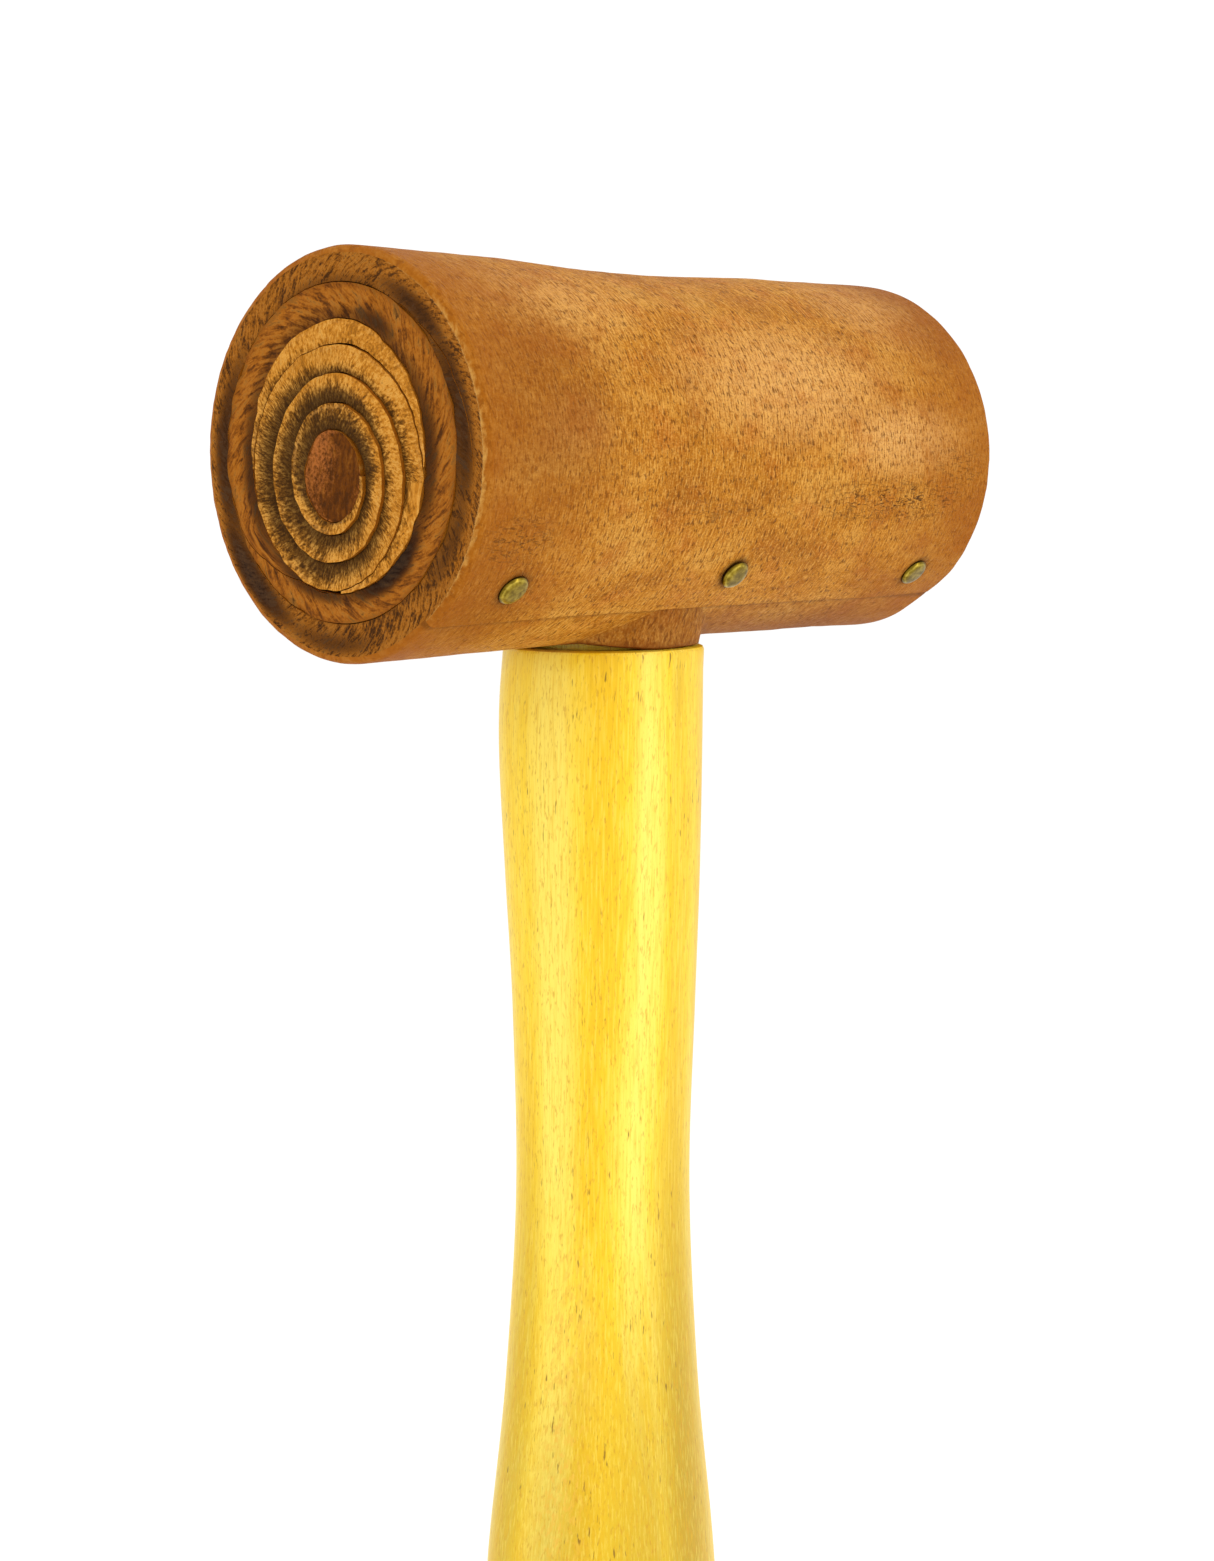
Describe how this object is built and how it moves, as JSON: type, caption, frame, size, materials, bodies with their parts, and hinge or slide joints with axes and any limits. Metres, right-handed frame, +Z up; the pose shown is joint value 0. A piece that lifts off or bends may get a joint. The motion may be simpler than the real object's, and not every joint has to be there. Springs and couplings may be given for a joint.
{
  "type": "rawhide mallet",
  "caption": "Hand mallet with a cylindrical rolled-rawhide head, closed by an outer wrap and brass pins, on a waisted oval wooden handle.",
  "frame": {"origin": "centre of the handle's flat butt face", "axes": "+Z up the handle to the head, +X along the head to its longer end, -Y towards the pinned side of the head"},
  "size_m": [0.0774, 0.038, 0.267],
  "materials": {
    "handle_wood": "glossy clear lacquer",
    "rolled_hide": "hard, dry",
    "wrap_hide": "hard, satin",
    "brass": "tarnished"
  },
  "bodies": {
    "root": {"handle": "handle_wood", "core_plug_front": "rolled_hide", "core_plug_rear": "rolled_hide", "inner_roll": "rolled_hide", "packing_strip": "rolled_hide", "second_wrap": "wrap_hide", "outer_wrap": "wrap_hide", "brass_pins": "brass"}
  },
  "joints": []
}
